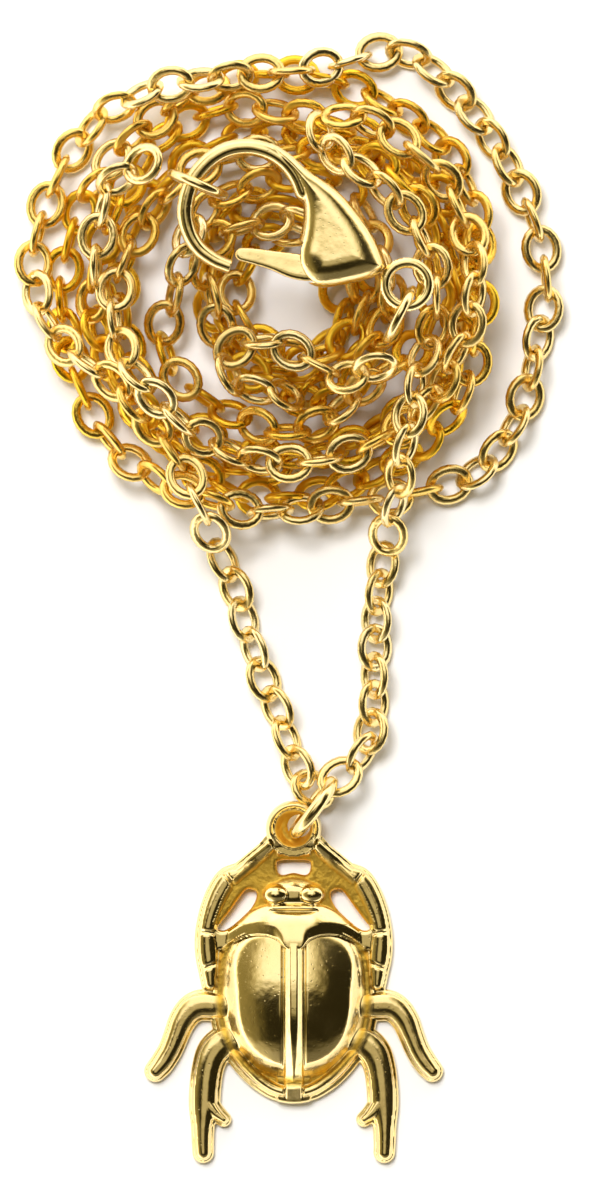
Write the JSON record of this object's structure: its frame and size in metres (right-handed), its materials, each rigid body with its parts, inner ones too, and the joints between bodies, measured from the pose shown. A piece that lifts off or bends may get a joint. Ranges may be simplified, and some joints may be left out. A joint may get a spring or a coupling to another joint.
{
  "type": "scarab pendant necklace",
  "caption": "Gold-plated cast scarab pendant with a jump ring on a flat oval cable chain, lying face up with the chain heaped beside it and its lobster clasp shut on top",
  "frame": {"origin": "the middle of the scarab's flat back", "axes": "+Z out of the scarab's face and up from the table, +Y from its tail to its head and on to the heaped chain, +X to the right seen from above"},
  "size_m": [0.0309, 0.065, 0.0088],
  "materials": {
    "scarab_gold": "polished gold plating on a cast alloy, softly rounded edges",
    "chain_gold": "bright gold plating on flattened wire links",
    "clasp_gold": "polished gold plating, a little paler"
  },
  "bodies": {
    "necklace": {"scarab": "scarab_gold", "chain_link_left_01": "chain_gold", "chain_link_left_02": "chain_gold", "chain_link_left_03": "chain_gold", "chain_link_left_04": "chain_gold", "chain_link_left_05": "chain_gold", "chain_link_left_06": "chain_gold", "chain_link_left_07": "chain_gold", "chain_link_left_08": "chain_gold", "chain_link_left_09": "chain_gold", "chain_link_right_01": "chain_gold", "chain_link_right_02": "chain_gold", "chain_link_right_03": "chain_gold", "chain_link_right_04": "chain_gold", "chain_link_right_05": "chain_gold", "chain_link_right_06": "chain_gold", "chain_link_right_07": "chain_gold", "chain_link_right_08": "chain_gold", "chain_link_right_09": "chain_gold", "heap_chain_left": "chain_gold", "heap_chain_right": "chain_gold", "bail_jump_ring": "clasp_gold", "chain_end_ring": "clasp_gold", "clasp_body": "clasp_gold", "clasp_pin": "clasp_gold", "clasp_tail_ring": "clasp_gold"},
    "lever": {"clasp_lever": "clasp_gold"}
  },
  "joints": [
    {"name": "clasp_lever_hinge", "type": "hinge", "parent": "necklace", "child": "lever", "pos_m": [0.00142, 0.0428, 0.00768], "axis": [0, 0, -1], "range_deg": [0, 25], "stiffness_Nm_per_rad": 0.00002}
  ]
}
